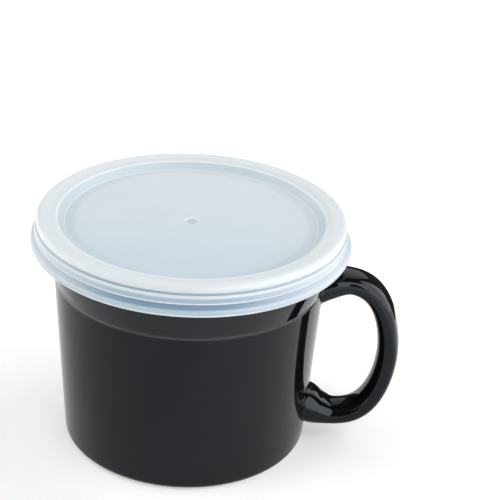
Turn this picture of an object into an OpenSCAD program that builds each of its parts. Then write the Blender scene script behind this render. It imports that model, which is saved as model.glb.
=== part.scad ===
// Soup mug with a lid: a glazed stoneware cup, a loop handle luted to it, and a moulded lid over the rim.
// Millimetres, +Z up. The cup stands on z = 0 about the Z axis, and the handle points along +X.

/* [Cup] */
// Height of the cup, from the table to the top of the rim
cup_h = 90; // [75:0.5:130]
// Diameter of the wall, produced down to the table
base_d = 93.5; // [70:0.5:105]
// Diameter of the wall where it starts to round in to the ledge
ledge_d = 102; // [88:0.2:108]
// Height of the flared band, from its foot to the top of the rim
band_h = 22.6; // [18:0.2:40]
// Width of the rounded ledge, from the wall in to the foot of the band
ledge_w = 0.5; // [0.3:0.1:2]
// Height of the rounded ledge
ledge_h = 2.6; // [1:0.1:5]
// Outer diameter of the rim
rim_d = 111.4; // [106:0.2:130]
// Thickness of the round rim
rim_t = 5.2; // [4:0.1:8]
// Height of the straight part of the rim, from its top down to the flare
rim_h = 10; // [8:0.2:14]
// Thickness of the wall
wall_t = 4.6; // [3:0.1:8]
// Thickness of the floor over the hollow of the foot
floor_t = 5.5; // [3:0.1:12]
// Rounding of the outer corner at the base
base_round = 3; // [1:0.1:6]
// Rounding inside, between the floor and the wall
floor_round = 9; // [3:0.5:20]

/* [Foot] */
// Width of the foot ring that stands on the table
foot_w = 5; // [2:0.1:10]
// Depth of the hollow inside the foot ring
foot_hollow = 1.5; // [0.5:0.1:4]
// How far the side of that hollow slopes in
foot_slope = 1.2; // [0.3:0.1:3]

/* [Handle] */
// Reach of the handle's centre line out from the wall
handle_reach = 28.1; // [22:0.1:45]
// Height of the middle of the lower arm over the table
low_arm_z = 10.6; // [9:0.1:25]
// Height of the middle of the upper arm over the foot of the band
arm_rise = 1.3; // [-4:0.1:5]
// Thickness of the handle, from the palm to the fingers
handle_t = 7.4; // [5:0.1:12]
// Width of the handle across the fingers
handle_w = 14.2; // [10:0.2:26]
// How square the handle's section is: 2 is an oval, and more fills its corners
handle_square = 2.9; // [2:0.1:5]
// Straight length of each arm before the loop starts to turn
arm_l = 4.5; // [2:0.1:9]
// How far each arm closes in towards the fingers on its way back to the wall
arm_close = 1; // [0:0.1:3]
// How much the arms swell towards the fingers at their roots
root_swell = 6.8; // [1:0.1:10]
// How much the arms spread on each side at their roots
root_spread = 2.4; // [0.5:0.1:5]
// Length over which the roots swell
root_l = 10.5; // [4:0.5:14]

/* [Lid] */
// Thickness of the lid
lid_t = 1.3; // [0.8:0.1:1.8]
// Clearance between the lid and the rim
lid_gap = 0.3; // [0.2:0.05:1]
// Thickness of the skirt at the ring
skirt_t = 1.75; // [1.4:0.05:3]
// Rounding of the ring's outer shoulder
ring_round = 2; // [1:0.1:3]
// How far the ring falls towards the panel
ring_fall = 0.9; // [0.2:0.1:2]
// How far the ring laps in over the mouth of the cup
ring_lap = 0.5; // [0.2:0.1:2]
// Depth of the panel's edge under the top of the ring
panel_drop = 3.4; // [2:0.1:8]
// How far the side of the panel slopes in on its way down
slope_run = 2.9; // [1:0.1:6]
// How far the panel rises from its edge to its middle
panel_crown = 0.4; // [0.2:0.1:3]
// Diameter of the gate mark in the middle of the panel
gate_d = 6.4; // [6.2:0.2:12]
// Diameter of the flat at the bottom of the gate mark
gate_flat_d = 3.8; // [1:0.1:6]
// Depth of the gate mark
gate_depth = 0.4; // [0.1:0.05:0.6]
// Depth of the groove under the ring
groove_depth = 0.75; // [0.2:0.05:0.9]
// How far the raised band stands out past the ring
band_step = 0.55; // [0.2:0.05:2]
// Height of the raised band, groove to lower edge
band_face = 3.4; // [2:0.1:5]
// Rounding of the raised band's upper edge
band_round = 0.8; // [0.2:0.1:1.2]
// How far the skirt steps back in under the raised band
under_step = 0.5; // [0.1:0.05:1]
// How far the lip stands out past the raised band
lip_step = 1.7; // [0.5:0.1:3]
// Height of the shoulder between the raised band and the lip
lip_shoulder = 0.9; // [0.4:0.1:4]
// Rounding of the lip
lip_round = 2; // [1.9:0.1:3]
// Width of the vent channel across the raised band
vent_w = 3.2; // [1.5:0.1:8]

/* [Hidden] */
$fn = 96;
glaze_black = [0.05, 0.05, 0.06];
milky_white = [0.86, 0.91, 0.94];

base_r = base_d / 2;
ledge_r = ledge_d / 2;
ledge_z = cup_h - band_h;
taper = (ledge_r - base_r) / (ledge_z - ledge_h);
ledge_arc = (ledge_w * ledge_w + ledge_h * ledge_h) / (2 * ledge_w);
ledge_turn = 2 * atan(ledge_w / ledge_h);
rim_r = rim_d / 2;
rim_in = rim_r - rim_t;
rim_round = rim_t / 2;
rim_c = [rim_r - rim_round, cup_h - rim_round];
flare_z = cup_h - rim_h;
floor_z = foot_hollow + floor_t;
foot_in = base_r - base_round - foot_w;

arc_steps = 8;
crown_steps = 12;
over = 1;

// Points of an arc about c with radius r, from angle a to angle b
function arc(c, r, a, b, n = arc_steps) =
    [for (i = [0 : n]) c + r * [cos(a + (b - a) * i / n), sin(a + (b - a) * i / n)]];

// Radius of the tapering wall at height z
function wall_r(z) = base_r + taper * z;

// Half section of the cup's outside, from the base up to the top of the rim
function outside() = concat(
    arc([wall_r(base_round) - base_round, base_round], base_round, -90, 0),
    arc([ledge_r - ledge_arc, ledge_z - ledge_h], ledge_arc, 0, ledge_turn),
    [[rim_r, flare_z]],
    arc(rim_c, rim_round, 0, 90)
);

// Half section of the cup's inside, from the top of the rim down to the middle of the floor
function inside() = concat(
    arc(rim_c, rim_round, 90, 180),
    [[rim_in, flare_z], [ledge_r - wall_t, ledge_z]],
    arc([wall_r(floor_z) - wall_t - floor_round, floor_z + floor_round], floor_round, 0, -90),
    [[0, floor_z]]
);

module mug_body() {
    color(glaze_black) rotate_extrude() polygon(concat(
        [[0, foot_hollow], [foot_in - foot_slope, foot_hollow], [foot_in, 0]],
        outside(),
        inside()
    ));
}

// The cup without its hollows, which cuts the handle's roots to the wall
module cup_block() {
    rotate_extrude() polygon(concat([[0, 0]], outside(), [[0, cup_h]]));
}

// The handle's centre line runs out along the upper arm, round the loop and back along the lower arm
high_arm_z = ledge_z + arm_rise;
loop_z = (high_arm_z + low_arm_z) / 2;
loop_half = (high_arm_z - low_arm_z) / 2;
// The loop leans out with the wall, but less
loop_lean_share = 0.25;
loop_lean = taper * loop_lean_share;
// Powers of the loop's cosine and sine: below 1 the loop is fuller than an ellipse
loop_fullness = 0.63;
loop_rise = 1.06;
loop_steps = 48;
arm_steps = 8;
section_steps = 28;

// Point of the loop at angle a: -90 where the upper arm ends, 90 where the lower arm starts
function loop_point(a) =
    let (
        z = loop_z - loop_half * sign(sin(a)) * pow(abs(sin(a)), loop_rise),
        arm_end = wall_r(loop_z) + arm_l + loop_lean * (z - loop_z)
    )
    [arm_end + (handle_reach - arm_l) * pow(max(cos(a), 0), loop_fullness), z];

// Points of one arm, from inside the wall to the start of the loop at end
function arm_points(end) =
    let (
        start = wall_r(end[1]) - wall_t / 2,
        close = arm_close * sign(loop_z - end[1])
    )
    [for (i = [0 : arm_steps - 1])
        let (u = i / arm_steps)
        [start + (end[0] - start) * u, end[1] + close * pow(1 - u, 2)]];

function reversed(list) = [for (i = [len(list) - 1 : -1 : 0]) list[i]];

centre_line = concat(
    arm_points(loop_point(-90)),
    [for (i = [0 : loop_steps]) loop_point(-90 + 180 * i / loop_steps)],
    reversed(arm_points(loop_point(90)))
);
last = len(centre_line) - 1;

// In-plane normal of the centre line at point i, from its two neighbours
function line_normal(i) =
    let (d = centre_line[min(i + 1, last)] - centre_line[max(i - 1, 0)])
    [d[1], -d[0]] / norm(d);

// Share of the root's swelling at point i: all of it on the wall, none past the root's length
function root_share(i) =
    let (out = max(centre_line[i][0] - wall_r(centre_line[i][1]), 0))
    pow(max(1 - out / root_l, 0), 2);

// A sine or cosine raised so that the oval it draws fills its corners
function filled(s) = sign(s) * pow(abs(s), 2 / handle_square);

// One section of the handle, square to the centre line
function section(i) =
    let (
        p = centre_line[i],
        n = line_normal(i),
        swell = root_swell * root_share(i),
        half_w = handle_w / 2 + root_spread * root_share(i)
    )
    [for (k = [0 : section_steps - 1])
        let (q = 360 * k / section_steps, t = swell / 2 + (handle_t + swell) / 2 * filled(cos(q)))
        [p[0] + t * n[0], half_w * filled(sin(q)), p[1] + t * n[1]]];

function section_index(i, k) = i * section_steps + k % section_steps;

module handle_sweep() {
    points = [for (i = [0 : last]) each section(i)];
    sides = [for (i = [0 : last - 1], k = [0 : section_steps - 1]) each [
        [section_index(i, k), section_index(i + 1, k), section_index(i + 1, k + 1)],
        [section_index(i, k), section_index(i + 1, k + 1), section_index(i, k + 1)]
    ]];
    ends = [
        [for (k = [0 : section_steps - 1]) section_index(0, k)],
        [for (k = [section_steps - 1 : -1 : 0]) section_index(last, k)]
    ];
    polyhedron(points, concat(sides, ends));
}

module handle() {
    color(glaze_black) difference() {
        handle_sweep();
        cup_block();
    }
}

// The lid seats over the round rim, a clearance away from it all round
ring_z = cup_h + lid_gap + lid_t;
skirt_in = rim_r + lid_gap;
ring_r = skirt_in + skirt_t;
ring_in = rim_in - ring_lap;
ring_c = [ring_r - ring_round, ring_z - ring_round];
ring_flat = ring_c[0] - ring_in;
ring_arc = (ring_flat * ring_flat + ring_fall * ring_fall) / (2 * ring_fall);
ring_turn = asin(ring_flat / ring_arc);
panel_r = ring_in - slope_run;
panel_z = ring_z - panel_drop;
crown_arc = (panel_r * panel_r + panel_crown * panel_crown) / (2 * panel_crown);
slope_turn = atan((panel_drop - ring_fall) / slope_run);
seat_r = rim_round + lid_gap;
plug_top = rim_c + seat_r * [cos(90 + slope_turn), sin(90 + slope_turn)];
plug_r = plug_top[0] - (plug_top[1] - panel_z + lid_t) / tan(slope_turn);
groove_r = ring_r - groove_depth;
groove_turn = -acos((groove_r - ring_c[0]) / ring_round);
groove_z = ring_c[1] + ring_round * sin(groove_turn);
band_r = ring_r + band_step;
band_z = groove_z - band_face;
lip_r = band_r + lip_step;
lip_turn = 60;
lip_c = [lip_r - lip_round, band_z - lip_shoulder - lip_round * sin(lip_turn)];
gate_r = gate_d / 2;
gate_z = crown_z(0) - gate_depth;

// Height of the panel's upper face at radius r
function crown_z(r) = panel_z + panel_crown - crown_arc + sqrt(crown_arc * crown_arc - r * r);

// Half section of the lid's upper and outer face, from the middle of the panel to the lip
function lid_outside() = concat(
    [[0, gate_z], [gate_flat_d / 2, gate_z], [gate_r, crown_z(gate_r)]],
    [for (i = [1 : crown_steps]) let (r = gate_r + (panel_r - gate_r) * i / crown_steps) [r, crown_z(r)]],
    arc([ring_c[0], ring_z - ring_arc], ring_arc, 90 + ring_turn, 90),
    arc(ring_c, ring_round, 90, groove_turn),
    arc([band_r - band_round, groove_z - band_round], band_round, 90, 0),
    [[band_r, band_z], [band_r - under_step, band_z]],
    arc(lip_c, lip_round, lip_turn, -90)
);

// Half section of the lid's inner and under face, from the lip back to the middle of the panel
function lid_inside() = concat(
    arc(lip_c, lip_round - lid_t, -90, lip_turn),
    [[skirt_in, band_z]],
    arc(rim_c, seat_r, 0, 90 + slope_turn),
    [for (i = [crown_steps : -1 : 0]) let (r = plug_r * i / crown_steps) [r, crown_z(r) - lid_t]]
);

module lid() {
    color(milky_white) difference() {
        rotate_extrude() polygon(concat(lid_outside(), lid_inside()));
        // The vent channel, at the back, as deep as the groove
        translate([-vent_w / 2, groove_r, band_z])
            cube([vent_w, lip_r - groove_r + over, groove_z - band_z]);
    }
}

mug_body();
handle();
lid();
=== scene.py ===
import math

import bmesh
import bpy
from mathutils import Matrix, Vector


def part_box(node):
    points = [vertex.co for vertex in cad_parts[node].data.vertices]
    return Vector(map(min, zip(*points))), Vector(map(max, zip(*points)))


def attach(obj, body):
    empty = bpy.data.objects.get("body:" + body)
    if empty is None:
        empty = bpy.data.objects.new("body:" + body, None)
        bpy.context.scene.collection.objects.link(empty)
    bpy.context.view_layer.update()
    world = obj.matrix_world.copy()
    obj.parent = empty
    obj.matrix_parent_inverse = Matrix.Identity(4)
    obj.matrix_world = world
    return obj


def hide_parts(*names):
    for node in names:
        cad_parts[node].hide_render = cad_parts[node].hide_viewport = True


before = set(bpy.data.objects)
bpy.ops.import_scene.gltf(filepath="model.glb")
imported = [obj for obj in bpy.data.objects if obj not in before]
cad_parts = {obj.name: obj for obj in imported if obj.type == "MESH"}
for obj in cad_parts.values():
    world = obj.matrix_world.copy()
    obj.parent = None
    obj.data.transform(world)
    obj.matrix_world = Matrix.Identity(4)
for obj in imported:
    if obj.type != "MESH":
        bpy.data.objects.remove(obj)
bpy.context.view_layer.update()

# The viewpoint: a long lens half a metre in front of the mug and above it, looking down on the lid.
# The camera stands a little towards the handle and leans a few degrees.
camera_distance = 0.536
camera_height = 0.3472
camera_azimuth = math.radians(4.17)
camera_aim = math.radians(1.804)
camera_pitch = math.radians(-26.709)
camera_lean = math.radians(3.291)
camera_lens_mm = 115.07
level = math.radians(90)
camera = bpy.data.objects.new("camera", bpy.data.cameras.new("camera"))
camera.data.lens = camera_lens_mm
camera_place = Matrix.Rotation(camera_azimuth, 4, "Z") @ Vector((0, -camera_distance, camera_height))
camera.matrix_world = (
    Matrix.Translation(camera_place)
    @ Matrix.Rotation(camera_aim, 4, "Z")
    @ Matrix.Rotation(level + camera_pitch, 4, "X")
    @ Matrix.Rotation(camera_lean, 4, "Z")
)
bpy.context.scene.collection.objects.link(camera)
bpy.context.scene.camera = camera

# The cup: stoneware, turned in a plaster mould, with a soft ledge under a flared band and a round rim.
# It is glazed black inside and out, with a painted highlight along the ledge that is brightest at the
# ledge's left, where side light falls.
# It is fired on its foot ring, which is wiped bare.
mm = 0.001
_, cup_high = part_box("mug_body")
cup_h = cup_high.z
rim_r = cup_high.x
rim_t = 5.2 * mm
rim_h = 10 * mm
wall_t = 4.6 * mm
base_r = 46.75 * mm
base_round = 3 * mm
ledge_r = 51 * mm
ledge_z = cup_h - 22.6 * mm
ledge_w = 0.15 * mm
ledge_h = 0.45 * mm
ledge_round = 3 * mm
flare_round = 12 * mm
floor_z = 7 * mm
floor_round = 9 * mm
foot_in = 38.75 * mm
foot_hollow = 1.5 * mm
foot_slope = 1.2 * mm
edge_round = 0.5 * mm
wall_taper = (ledge_r - base_r) / (ledge_z - ledge_h)
cup_step = 4 * mm
corner_steps = 8
turning_steps = 240
weld = 0.001 * mm


def rounded_line(mesh, corners, longest):
    """A wire through corners of (radius, height, rounding), cut into pieces of at most longest."""
    points = [Vector((radius, 0, height)) for radius, height, rounding in corners]
    verts = [mesh.verts.new(point) for point in points]
    for start, end in zip(verts, verts[1:]):
        mesh.edges.new((start, end))
    for i in range(1, len(corners) - 1):
        turn = (points[i] - points[i - 1]).angle(points[i + 1] - points[i])
        setback = corners[i][2] * math.tan(turn / 2)
        bmesh.ops.bevel(mesh, geom=[verts[i]], offset=setback, offset_type="OFFSET", affect="VERTICES",
                        segments=corner_steps, profile=0.5, material=-1)
    for edge in mesh.edges[:]:
        cuts = int(edge.calc_length() / longest)
        if cuts:
            bmesh.ops.subdivide_edges(mesh, edges=[edge], cuts=cuts)


def turn_on_axis(mesh):
    """Spins the wire into a closed body about the Z axis."""
    bmesh.ops.spin(mesh, geom=mesh.verts[:] + mesh.edges[:], cent=(0, 0, 0), axis=(0, 0, 1),
                   angle=math.tau, steps=turning_steps, use_merge=True)
    bmesh.ops.remove_doubles(mesh, verts=mesh.verts[:], dist=weld)
    bmesh.ops.recalc_face_normals(mesh, faces=mesh.faces[:])


def smooth_piece(name, mesh):
    """Turns a bmesh into a smooth-shaded object in the scene."""
    for face in mesh.faces:
        face.smooth = True
    data = bpy.data.meshes.new(name)
    mesh.to_mesh(data)
    mesh.free()
    piece = bpy.data.objects.new(name, data)
    bpy.context.scene.collection.objects.link(piece)
    return piece


cup_mesh = bmesh.new()
rounded_line(cup_mesh, [
    (0, foot_hollow, 0),
    (foot_in - foot_slope, foot_hollow, edge_round),
    (foot_in, 0, edge_round),
    (base_r, 0, base_round),
    (ledge_r, ledge_z - ledge_h, ledge_round),
    (ledge_r - ledge_w, ledge_z, edge_round),
    (rim_r, cup_h - rim_h, flare_round),
    (rim_r, cup_h, rim_t / 2),
    (rim_r - rim_t, cup_h, rim_t / 2),
    (rim_r - rim_t, cup_h - rim_h, flare_round),
    (ledge_r - wall_t, ledge_z, flare_round),
    (base_r + wall_taper * floor_z - wall_t, floor_z, floor_round),
    (0, floor_z, 0),
], longest=cup_step)
turn_on_axis(cup_mesh)
cup = smooth_piece("cup", cup_mesh)


def feed(tree, socket, value):
    """Links another node's output to a socket, or sets the socket's own value."""
    if isinstance(value, bpy.types.NodeSocket):
        tree.links.new(value, socket)
    else:
        socket.default_value = value


def shader_node(tree, kind, settings=None, **inputs):
    """Adds a node; inputs are values or outputs, by socket name with underscores for spaces."""
    node = tree.nodes.new(kind)
    for key, value in (settings or {}).items():
        setattr(node, key, value)
    for key, value in inputs.items():
        feed(tree, node.inputs[key.replace("_", " ")], value)
    return node


def new_material(name):
    """A material with only an output node, its tree, and the socket for its surface."""
    material = bpy.data.materials.new(name)
    material.use_nodes = True
    tree = material.node_tree
    tree.nodes.clear()
    return material, tree, tree.nodes.new("ShaderNodeOutputMaterial").inputs["Surface"]


def object_place(tree):
    """The place on the object, and its x, y and z."""
    place = shader_node(tree, "ShaderNodeTexCoord").outputs["Object"]
    parts = shader_node(tree, "ShaderNodeSeparateXYZ", Vector=place).outputs
    return place, parts["X"], parts["Y"], parts["Z"]


def noise(tree, place, scale, detail):
    """A cloudy pattern from 0 to 1."""
    return shader_node(tree, "ShaderNodeTexNoise", Vector=place, Scale=scale, Detail=detail).outputs["Fac"]


def spread(tree, value, start, end, low=0, high=1, smooth=False):
    """Low where the value is at start and high where it is at end, with an even or a smooth change."""
    settings = {"interpolation_type": "SMOOTHSTEP" if smooth else "LINEAR"}
    node = shader_node(tree, "ShaderNodeMapRange", settings, Value=value, From_Min=start, From_Max=end,
                       To_Min=low, To_Max=high)
    return node.outputs["Result"]


def number(tree, operation, *values, clamp=False):
    """What a Math node makes of these values."""
    node = shader_node(tree, "ShaderNodeMath", {"operation": operation, "use_clamp": clamp})
    for socket, value in zip(node.inputs, values):
        feed(tree, socket, value)
    return node.outputs["Value"]


def vector_math(tree, operation, *places):
    """A VectorMath node at work on these places."""
    node = shader_node(tree, "ShaderNodeVectorMath", {"operation": operation})
    for socket, place in zip(node.inputs, places):
        feed(tree, socket, place)
    return node


def axis_radius(tree, place):
    """The distance of a place from the Z axis."""
    flat_place = vector_math(tree, "MULTIPLY", place, (1, 1, 0)).outputs["Vector"]
    return vector_math(tree, "LENGTH", flat_place).outputs["Value"]


def mix_colours(tree, share, first, second):
    """The first colour where share is 0 and the second where it is 1; each is an output or three numbers."""
    node = shader_node(tree, "ShaderNodeMix", {"data_type": "RGBA"}, Factor=share)
    for socket, colour in ((node.inputs[6], first), (node.inputs[7], second)):
        feed(tree, socket, colour if isinstance(colour, bpy.types.NodeSocket) else (*colour, 1))
    return node.outputs[2]


def colour_bands(tree, value, low, high, bands):
    """A ramp over value from low to high; bands are stops of (value, colour)."""
    ramp = shader_node(tree, "ShaderNodeValToRGB", Fac=spread(tree, value, low, high))
    stops = ramp.color_ramp.elements
    stops[0].position = (bands[0][0] - low) / (high - low)
    stops[0].color = (*bands[0][1], 1)
    stops[1].position = (bands[-1][0] - low) / (high - low)
    stops[1].color = (*bands[-1][1], 1)
    for stop, colour in bands[1:-1]:
        stops.new((stop - low) / (high - low)).color = (*colour, 1)
    return ramp.outputs["Color"]


glaze_black = (0.0035, 0.0035, 0.004)
glaze_soft_black = (0.006, 0.006, 0.0065)
clay_brown = (0.30, 0.25, 0.19)
clay_buff = (0.52, 0.45, 0.36)
ledge_highlight_grey = (0.034, 0.035, 0.038)
ledge_left_highlight_grey = (0.08, 0.083, 0.088)
ledge_highlight_width = 1.1 * mm
highlight_brighter_from = -18 * mm
highlight_brightest_from = -38 * mm
glaze_line = 0.7 * mm
cloud_scale = 60
grain_scale = 1600
wave_scale = 34
wave_depth = 0.03 * mm
peel_scale = 700
peel_depth = 0.0006 * mm
glaze_rough = (0.02, 0.06)
clay_rough = 0.9
glaze_ior = 1.35
glaze_tint = (0.8, 0.9, 1, 1)

glaze, tree, surface = new_material("black_glaze")
place, sideways, _, height = object_place(tree)
cloud = noise(tree, place, cloud_scale, 4)
black = colour_bands(tree, cloud, 0, 1, [(0.3, glaze_black), (0.7, glaze_soft_black)])
grain = noise(tree, place, grain_scale, 4)
clay = colour_bands(tree, grain, 0, 1, [(0.35, clay_brown), (0.6, clay_buff)])
wavy_line = spread(tree, cloud, 0, 1, 0.5 * glaze_line, 1.5 * glaze_line)
glazed = number(tree, "GREATER_THAN", height, wavy_line)
profile = shader_node(tree, "ShaderNodeCombineXYZ", X=axis_radius(tree, place), Z=height)
# Painted highlight: a lighter grey line along the ledge, lighter still towards the left.
from_ledge = vector_math(tree, "DISTANCE", profile.outputs["Vector"], (ledge_r, 0, ledge_z - ledge_h))
ledge_highlight = spread(tree, from_ledge.outputs["Value"], 0, ledge_highlight_width, 1, 0, smooth=True)
left_brighter = spread(tree, sideways, highlight_brightest_from, highlight_brighter_from, 1, 0)
highlight_colour = mix_colours(tree, left_brighter, ledge_highlight_grey, ledge_left_highlight_grey)
glaze_with_highlight = mix_colours(tree, ledge_highlight, black, highlight_colour)
rough = spread(tree, glazed, 0, 1, clay_rough, spread(tree, cloud, 0, 1, *glaze_rough))
waves = noise(tree, place, wave_scale, 1)
wave_bump = shader_node(tree, "ShaderNodeBump", Height=waves, Strength=1, Distance=wave_depth)
peel = noise(tree, place, peel_scale, 2)
peel_bump = shader_node(tree, "ShaderNodeBump", Height=peel, Strength=1, Distance=peel_depth,
                        Normal=wave_bump.outputs["Normal"])
gloss = shader_node(tree, "ShaderNodeBsdfPrincipled", Roughness=rough, IOR=glaze_ior,
                    Base_Color=mix_colours(tree, glazed, clay, glaze_with_highlight),
                    Specular_Tint=glaze_tint, Normal=peel_bump.outputs["Normal"])
tree.links.new(gloss.outputs["BSDF"], surface)
cup.data.materials.append(glaze)
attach(cup, "mug")
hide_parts("mug_body")

# The handle: a stoneware loop of rounded section, cast apart and stuck to the cup with slip, at the ledge
# and low on the wall. Its roots swell towards the fingers, and the glaze fills the joints in a small fillet.
_, handle_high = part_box("handle")
hair = 0.01 * mm
handle_t = 7.4 * mm
handle_w = 14.2 * mm
back_square = 2.9
finger_square = 2.2
finger_more = 0.8 * mm
low_arm_z = 10.6 * mm
high_arm_z = ledge_z + 1.3 * mm
arm_l = 4.5 * mm
arm_close = 1 * mm
arm_crowding = 1.6
loop_z = (high_arm_z + low_arm_z) / 2
loop_half = (high_arm_z - low_arm_z) / 2
loop_reach = handle_high.x - handle_t / 2 - base_r - wall_taper * loop_z - hair
loop_lean = wall_taper * 0.25
loop_fullness = 0.63
loop_rise = 1.06
high_swell = 5 * mm
high_taper = 1.5
low_swell = 5.6 * mm
root_spread = 2 * mm
root_l = 11 * mm
root_fillet = 0.7 * mm
root_sunk = 0.8 * mm
ring_points = 64
loop_rings = 72
arm_rings = 14


def wall_x(y, z):
    """How far out the cup's wall is at this y and height."""
    band = (ledge_r - ledge_w) + (rim_r - ledge_r + ledge_w) * (z - ledge_z) / (cup_h - rim_h - ledge_z)
    radius = max(base_r + wall_taper * z, band)
    return math.sqrt(radius * radius - y * y)


def filled(share, square):
    """A sine or cosine for an oval that fills its corners: 2 draws an ellipse, and more is squarer."""
    return math.copysign(abs(share) ** (2 / square), share)


def loop_point(angle):
    """A point (x, z) of the loop's middle line: -90 degrees at the upper arm, 90 degrees at the lower."""
    rise = math.copysign(abs(math.sin(angle)) ** loop_rise, math.sin(angle))
    z = loop_z - loop_half * rise
    start = base_r + wall_taper * loop_z + arm_l + loop_lean * (z - loop_z)
    return Vector((start + (loop_reach - arm_l) * max(math.cos(angle), 0) ** loop_fullness, z))


def arm_line(end):
    """Points of an arm's middle line, from inside the wall out to the end where the loop starts."""
    inward = math.copysign(arm_close, loop_z - end.y)
    start = wall_x(0, end.y) - root_sunk
    for i in range(arm_rings):
        share = (i / arm_rings) ** arm_crowding
        yield Vector((start + (end.x - start) * share, end.y + inward * (1 - share) ** 2))


middle_line = list(arm_line(loop_point(-math.pi / 2)))
middle_line += [loop_point(math.pi * (i / loop_rings - 0.5)) for i in range(loop_rings + 1)]
middle_line += reversed(list(arm_line(loop_point(math.pi / 2))))

# Each ring starts as a circle, is squared and swollen, and is bent to the wall near the roots.
handle_mesh = bmesh.new()
rings = []
for i, centre in enumerate(middle_line):
    ahead = middle_line[min(i + 1, len(middle_line) - 1)] - middle_line[max(i - 1, 0)]
    inward = Vector((ahead.y, -ahead.x)).normalized()
    clear = centre.x - wall_x(0, centre.y)
    away = min(max(clear, 0) / root_l, 1)
    root = 1 - away * away * (3 - 2 * away)
    near = min(max(clear, 0) / root_fillet, 1)
    fillet = root_fillet * (1 - math.sqrt(1 - (1 - near) ** 2))
    swell = low_swell * root if centre.y < loop_z else high_swell * (1 - away) ** high_taper
    ring = bmesh.ops.create_circle(handle_mesh, segments=ring_points, radius=1)["verts"]
    for vert in ring:
        inner = vert.co.x > 0
        square = finger_square if inner else back_square
        half_t = (handle_t + swell) / 2 + fillet + finger_more * inner
        half_w = handle_w / 2 + root_spread * root + fillet
        y = filled(vert.co.y, square) * half_w
        flat = centre + inward * (filled(vert.co.x, square) * half_t + swell / 2)
        bent_x = wall_x(y, flat.y) + clear
        vert.co = (flat.x + (bent_x - flat.x) * root, y, flat.y)
    rings.append(set(ring))
for ring, following in zip(rings, rings[1:]):
    loops = []
    for members in (ring, following):
        loops += [edge for edge in handle_mesh.edges if members.issuperset(edge.verts)]
    bmesh.ops.bridge_loops(handle_mesh, edges=loops)
bmesh.ops.holes_fill(handle_mesh, edges=handle_mesh.edges[:], sides=ring_points)
bmesh.ops.recalc_face_normals(handle_mesh, faces=handle_mesh.faces[:])
handle = smooth_piece("loop_handle", handle_mesh)
handle.data.materials.append(glaze)
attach(handle, "mug")
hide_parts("handle")

# The lid: one moulding of soft milky plastic, with a sunk panel, a domed ring over the rim, and a skirt.
# The skirt has a raised band, cut through by a vent at the back, and a rolled lip that snaps over the rim.
# Light and shade are painted into its colour: white glow on the edges, blue shade on the skirt and in its
# recesses, a bluer, darker panel at the front, and a ring edge brighter in front and greyer at the back.
lid_low, lid_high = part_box("lid")
lid_t = 1.3 * mm
lid_gap = 0.3 * mm
lid_top = lid_high.z
lip_r = lid_high.x - hair
lip_z = lid_low.z
lip_round = 2 * mm
flare_z = lip_z + 3.15 * mm
hollow_z = lip_z + 2.4 * mm
hollow_round = 0.7 * mm
skirt_in = rim_r + lid_gap
seat_z = cup_h + lid_gap
seat_round = rim_t / 2 + lid_gap
ring_r = skirt_in + 1.75 * mm
ring_in = rim_r - rim_t - 0.5 * mm
ring_fall = 0.9 * mm
ring_dome = 18.8 * mm
ring_round = 2 * mm
dome_r = ring_in + 2.8 * mm
channel_r = ring_in + 2 * mm
panel_r = ring_in - 2.9 * mm
panel_z = lid_top - 3.4 * mm
panel_crown = 0.4 * mm
panel_round = 0.5 * mm
crown_dome = 2700 * mm
under_r = panel_r + 1 * mm
gate_r = 3.2 * mm
gate_flat_r = 1.9 * mm
gate_depth = 0.4 * mm
groove_r = ring_r - 0.75 * mm
groove_z = lid_top - 3.56 * mm
ring_low_z = groove_z + 1 * mm
band_r = ring_r + 0.55 * mm
band_z = groove_z - 3.4 * mm
band_round = 0.8 * mm
band_in = band_r - 0.5 * mm
crease = 0.25 * mm
vent_w = 3.2 * mm
vent_side = 0.15 * mm
vent_from = groove_r - 2 * mm
lid_step = 3 * mm

lid_mesh = bmesh.new()
rounded_line(lid_mesh, [
    (0, panel_z + panel_crown - gate_depth, 0),
    (gate_flat_r, panel_z + panel_crown - gate_depth, crease),
    (gate_r, panel_z + panel_crown, crease),
    (panel_r / 2, panel_z + panel_crown, crown_dome),
    (panel_r, panel_z, panel_round),
    (ring_in, lid_top - ring_fall, panel_round),
    (dome_r, lid_top, ring_dome),
    (ring_r, lid_top, ring_round),
    (ring_r, ring_low_z, ring_round / 2),
    (groove_r, groove_z, crease),
    (band_r, groove_z, band_round),
    (band_r, band_z, crease),
    (band_in, band_z, crease),
    (lip_r, flare_z, lip_round),
    (lip_r, lip_z, lip_round),
    (lip_r - lip_round, lip_z, crease),
    (lip_r - lip_round, lip_z + lid_t, crease),
    (lip_r - lid_t, lip_z + lid_t, hollow_round),
    (lip_r - lid_t, hollow_z, hollow_round),
    (skirt_in, band_z, lid_t),
    (skirt_in, seat_z, seat_round),
    (channel_r, seat_z, seat_round),
    (under_r, panel_z - lid_t, panel_round),
    (panel_r / 2, panel_z + panel_crown - lid_t, crown_dome),
    (0, panel_z + panel_crown - lid_t, 0),
], longest=lid_step)
turn_on_axis(lid_mesh)

# The vent: the band is cut across at the back and pushed in to the depth of the groove.
for offset in (vent_w / 2, vent_w / 2 - vent_side, vent_side - vent_w / 2, -vent_w / 2):
    back = [face for face in lid_mesh.faces if face.calc_center_median().y > vent_from]
    rim_part = dict.fromkeys(part for face in back for part in (*face.verts, *face.edges, face))
    bmesh.ops.bisect_plane(lid_mesh, geom=list(rim_part), plane_co=(offset, 0, 0), plane_no=(1, 0, 0),
                           dist=0)
for vert in lid_mesh.verts:
    from_axis = vert.co.xy.length
    on_band = from_axis > band_in + 2 * hair and band_z - hair < vert.co.z < groove_z + hair
    if on_band and vert.co.y > 0 and abs(vert.co.x) < vent_w / 2 - 0.5 * vent_side:
        vert.co.xy *= groove_r / from_axis
lid = smooth_piece("lid_moulding", lid_mesh)

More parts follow.
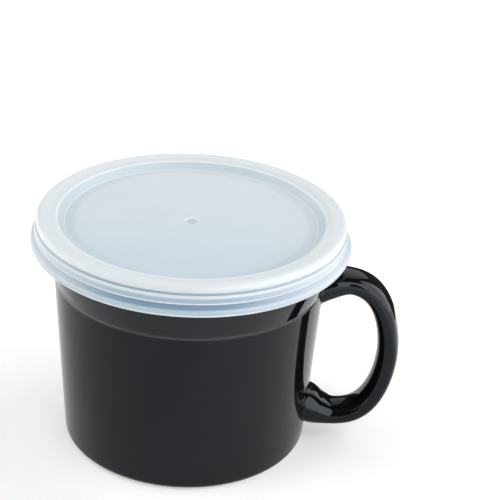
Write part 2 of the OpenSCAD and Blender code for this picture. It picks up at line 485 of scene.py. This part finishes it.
ring_white = (0.81, 0.855, 0.875)
ring_edge_glow = (0.89, 0.925, 0.94)
ring_back_shade = (0.75, 0.8, 0.825)
panel_milk = (0.735, 0.8, 0.835)
panel_edge_shade = (0.685, 0.75, 0.785)
shaded_front_panel = (0.64, 0.74, 0.805)
shaded_front_edge = (0.61, 0.715, 0.785)
slope_shade_blue = (0.63, 0.72, 0.765)
gate_shade = (0.58, 0.65, 0.68)
skirt_shade_blue = (0.42, 0.56, 0.67)
recess_shade_blue = (0.235, 0.35, 0.48)
lip_shade_cyan = (0.51, 0.63, 0.69)
edge_glow_white = (0.95, 0.97, 0.98)
side_lit_skirt = (0.68, 0.72, 0.76)
skirt_from = ring_in + 3 * mm
bluest_y = -1.1 * panel_r
milkiest_y = 0.4 * panel_r
pale_from = 0.2 * lip_r
palest_from = 0.9 * lip_r
pale_share = 0.85
pale_top = groove_z + 0.4 * mm
ring_foot = groove_z + 0.8 * mm
haze_scale = 45
haze_depth = (0.97, 1.03)
satin_scale = 900
satin_depth = 0.002 * mm
satin_rough = (0.34, 0.46)
plastic_ior = 1.42
plastic_clear = 0.15

milky, tree, surface = new_material("milky_plastic")
place, sideways, depth, height = object_place(tree)
radius = axis_radius(tree, place)


def top_bands(panel, panel_edge, ring_edge):
    """The colours of the lid's top, with painted shade and glow, from the gate mark out to the ring."""
    return colour_bands(tree, radius, 0, lip_r, [
        # Painted shade in the gate mark's dimple with a painted bright ring round it, painted shade along
        # the panel's edge and on the slope, a painted bright line at the slope's foot and a glowing ring
        # edge.
        (0, gate_shade),
        (gate_flat_r - 0.2 * mm, gate_shade),
        (gate_flat_r + 0.5 * mm, ring_white),
        (gate_r - 0.4 * mm, ring_white),
        (gate_r, panel),
        (panel_r - 4 * mm, panel),
        (panel_r - 3 * mm, panel_edge),
        (panel_r - 0.3 * mm, panel_edge),
        (panel_r, ring_white),
        (panel_r + 0.4 * mm, slope_shade_blue),
        (ring_in - 0.4 * mm, slope_shade_blue),
        (ring_in, edge_glow_white),
        (ring_in + 0.6 * mm, ring_edge),
        (ring_in + 1.8 * mm, ring_edge),
        (skirt_from, ring_white),
        (lip_r, ring_white),
    ])


# Painted shade and glow: the panel is painted bluer and darker at the front, and the ring's inner edge
# brighter at the front and greyer at the back.
towards_back = spread(tree, depth, bluest_y, milkiest_y, smooth=True)
top_colour = mix_colours(tree, towards_back, top_bands(shaded_front_panel, shaded_front_edge, ring_edge_glow),
                         top_bands(panel_milk, panel_edge_shade, ring_back_shade))
# Painted light on the skirt: white glow along the lip, the band's lower edge and the band's top, and blue
# painted shade above the lip, in the recess under the band, on the band's face and in the groove.
skirt_glow_and_shade = colour_bands(tree, height, lip_z, lid_top, [
    (lip_z, edge_glow_white),
    (lip_z + 1.3 * mm, edge_glow_white),
    (lip_z + 1.7 * mm, lip_shade_cyan),
    (lip_z + 3.0 * mm, lip_shade_cyan),
    (lip_z + 3.4 * mm, recess_shade_blue),
    (band_z - 0.2 * mm, recess_shade_blue),
    (band_z, edge_glow_white),
    (band_z + 0.5 * mm, edge_glow_white),
    (band_z + 0.8 * mm, skirt_shade_blue),
    (groove_z - 1.3 * mm, skirt_shade_blue),
    (groove_z - 0.8 * mm, ring_white),
    (groove_z - 0.1 * mm, ring_white),
    (groove_z, skirt_shade_blue),
    (pale_top, skirt_shade_blue),
    (ring_foot, ring_white),
    (lid_top, ring_white),
])

# Painted side light: the skirt is paler towards the left and right, where the side lamps light it; the ring
# above it isn't.
below_ring = spread(tree, height, pale_top, ring_foot, pale_share, 0)
side_light = spread(tree, number(tree, "ABSOLUTE", sideways), pale_from, palest_from, 0, below_ring, smooth=True)
side_lit_skirt_colour = mix_colours(tree, side_light, skirt_glow_and_shade, side_lit_skirt)
on_skirt = number(tree, "GREATER_THAN", radius, skirt_from)
milk = mix_colours(tree, on_skirt, top_colour, side_lit_skirt_colour)
haze = spread(tree, noise(tree, place, haze_scale, 3), 0, 1, *haze_depth)
hazy_milk = vector_math(tree, "SCALE", milk)
feed(tree, hazy_milk.inputs["Scale"], haze)
satin = noise(tree, place, satin_scale, 2)
satin_bump = shader_node(tree, "ShaderNodeBump", Height=satin, Strength=1, Distance=satin_depth)
plastic = shader_node(tree, "ShaderNodeBsdfPrincipled", Base_Color=hazy_milk.outputs["Vector"],
                      Roughness=spread(tree, satin, 0, 1, *satin_rough), IOR=plastic_ior,
                      Transmission_Weight=plastic_clear, Normal=satin_bump.outputs["Normal"])
tree.links.new(plastic.outputs["BSDF"], surface)
lid.data.materials.append(milky)
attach(lid, "lid")
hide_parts("lid")

# The studio: white paper with a painted shadow, greyer in front of the mug and on its left, with wide soft
# boxes on both sides, a weaker one at the back, a fill from the upper left, and a dim room all round.
# The shine lamps leave matt light as it is, and a black card behind the handle shows only in gloss.
floor_size = 40
paper_white = (0.9, 0.9, 0.9)
paper_shadow_grey = (0.7, 0.7, 0.7)
paper_rough = 0.9
shadow_away = (0.7, 0.71, 0)
darkest_shadow_at = -1.7 * base_r
shadow_end = -0.6 * base_r
near_r = 2.9 * base_r
far_r = 4 * base_r
near_lift = 0.18
camera_lift = 0.3
far_lift = 0.95

floor_mesh = bmesh.new()
bmesh.ops.create_grid(floor_mesh, x_segments=1, y_segments=1, size=floor_size)
floor = smooth_piece("floor", floor_mesh)
paper, tree, surface = new_material("white_paper")
paper_place = object_place(tree)[0]
far = spread(tree, vector_math(tree, "LENGTH", paper_place).outputs["Value"], near_r, far_r, smooth=True)
# Painted shadow: the paper turns grey near the mug, in front of it and on its left.
across = vector_math(tree, "DOT_PRODUCT", paper_place, shadow_away).outputs["Value"]
beyond_shadow = spread(tree, across, darkest_shadow_at, shadow_end, smooth=True)
white_share = number(tree, "ADD", beyond_shadow, far, clamp=True)

# The paper is lifted towards white for the camera, in gloss and through the lid, and keeps its shadow.
path = shader_node(tree, "ShaderNodeLightPath").outputs
seen = number(tree, "ADD", path["Is Camera Ray"], path["Is Glossy Ray"], clamp=True)
seen_through = number(tree, "ADD", seen, path["Is Transmission Ray"], clamp=True)
near_glow = spread(tree, path["Is Camera Ray"], 0, 1, near_lift, camera_lift)
lift = number(tree, "MULTIPLY", seen_through, spread(tree, far, 0, 1, near_glow, far_lift))
sheet = shader_node(tree, "ShaderNodeBsdfPrincipled", Roughness=paper_rough, Specular_IOR_Level=0,
                    Base_Color=mix_colours(tree, white_share, paper_shadow_grey, paper_white),
                    Emission_Color=(1, 1, 1, 1), Emission_Strength=lift)
tree.links.new(sheet.outputs["BSDF"], surface)
floor.data.materials.append(paper)

box_distance = 1.2
shine_distance = 1.1 * box_distance
cool = (0.96, 0.98, 1)
neutral = (1, 1, 1)
right_span = (22, 80.5)
right_rise = (-2, 63)
handle_span = (79.5, 136)
handle_rise = (-2, 60)
back_span = (152, 200)
back_rise = (20, 62)
left_span = (-140, -40)
left_rise = (-2, 48)
fill_size = 1
fill_lean = math.radians(-25)


def soft_lamp(name, width, length, brightness, colour, place):
    """A rectangular lamp out of the camera's sight; brightness is that of its face."""
    lamp = bpy.data.objects.new(name, bpy.data.lights.new(name, "AREA"))
    lamp.data.shape = "RECTANGLE"
    lamp.data.size = width
    lamp.data.size_y = length
    lamp.data.energy = brightness * math.pi * width * length
    lamp.data.color = colour
    lamp.visible_camera = False
    lamp.matrix_world = place
    bpy.context.scene.collection.objects.link(lamp)
    return lamp


def soft_box(name, span, rise, brightness, colour, distance=box_distance):
    """An upright lamp that fills these degrees, seen from the mug: span 0 is in front, 90 at the handle."""
    low, high = (distance * math.tan(math.radians(elevation)) for elevation in rise)
    width = 2 * distance * math.tan(math.radians(span[1] - span[0]) / 2)
    place = (Matrix.Rotation(math.radians(sum(span) / 2), 4, "Z")
             @ Matrix.Translation((0, -distance, cup_h / 2 + (low + high) / 2))
             @ Matrix.Rotation(level, 4, "X"))
    return soft_lamp(name, width, high - low, brightness, colour, place)


soft_box("right_box", right_span, right_rise, 2.3, cool)
soft_box("right_shine", right_span, right_rise, 1.5, cool, shine_distance).visible_diffuse = False
soft_box("handle_box", handle_span, handle_rise, 1.9, cool)
soft_box("handle_shine", handle_span, handle_rise, 1.1, cool, shine_distance).visible_diffuse = False
soft_box("back_box", back_span, back_rise, 0.9, cool)
soft_box("left_box", left_span, left_rise, 1.9, neutral)
fill_place = Matrix.Rotation(fill_lean, 4, "Y") @ Matrix.Translation((0, 0, box_distance))
soft_lamp("top_box", fill_size, fill_size, 1.05, neutral, fill_place).visible_glossy = False

flag_w = 200 * mm
flag_h = 84 * mm
flag_x = 137 * mm
flag_y = 125 * mm
flag_in = flag_x - flag_w / 2
side_fade = 30 * mm
top_fade = 25 * mm
felt_scale = 800
felt_black = (0.005, 0.015)

flag_mesh = bmesh.new()
bmesh.ops.create_grid(flag_mesh, x_segments=1, y_segments=1, size=0.5,
                      matrix=Matrix.Translation((flag_x, flag_y, flag_h / 2))
                      @ Matrix.Rotation(level, 4, "X") @ Matrix.Diagonal((flag_w, flag_h, 1, 1)))
flag = smooth_piece("black_flag", flag_mesh)
felt, tree, surface = new_material("black_felt")
_, flag_across, _, flag_height = object_place(tree)
fuzz = shader_node(tree, "ShaderNodeTexNoise", Scale=felt_scale).outputs["Fac"]
card = shader_node(tree, "ShaderNodeBsdfPrincipled", Roughness=1,
                   Base_Color=spread(tree, fuzz, 0, 1, *felt_black))
side_share = spread(tree, flag_across, flag_in, flag_in + side_fade, smooth=True)
card_share = spread(tree, flag_height, flag_h, flag_h - top_fade, 0, side_share, smooth=True)
soft_edge = shader_node(tree, "ShaderNodeMixShader", Fac=card_share)
tree.links.new(shader_node(tree, "ShaderNodeBsdfTransparent").outputs["BSDF"], soft_edge.inputs[1])
tree.links.new(card.outputs["BSDF"], soft_edge.inputs[2])
tree.links.new(soft_edge.outputs["Shader"], surface)
flag.data.materials.append(felt)
flag.visible_camera = False
flag.visible_diffuse = False
flag.visible_transmission = False
flag.visible_shadow = False

room_grey = 0.08
world = bpy.data.worlds.new("studio")
world.use_nodes = True
world.node_tree.nodes["Background"].inputs["Color"].default_value = (room_grey, room_grey, room_grey, 1)
bpy.context.scene.world = world
bpy.context.scene.view_settings.view_transform = "Standard"
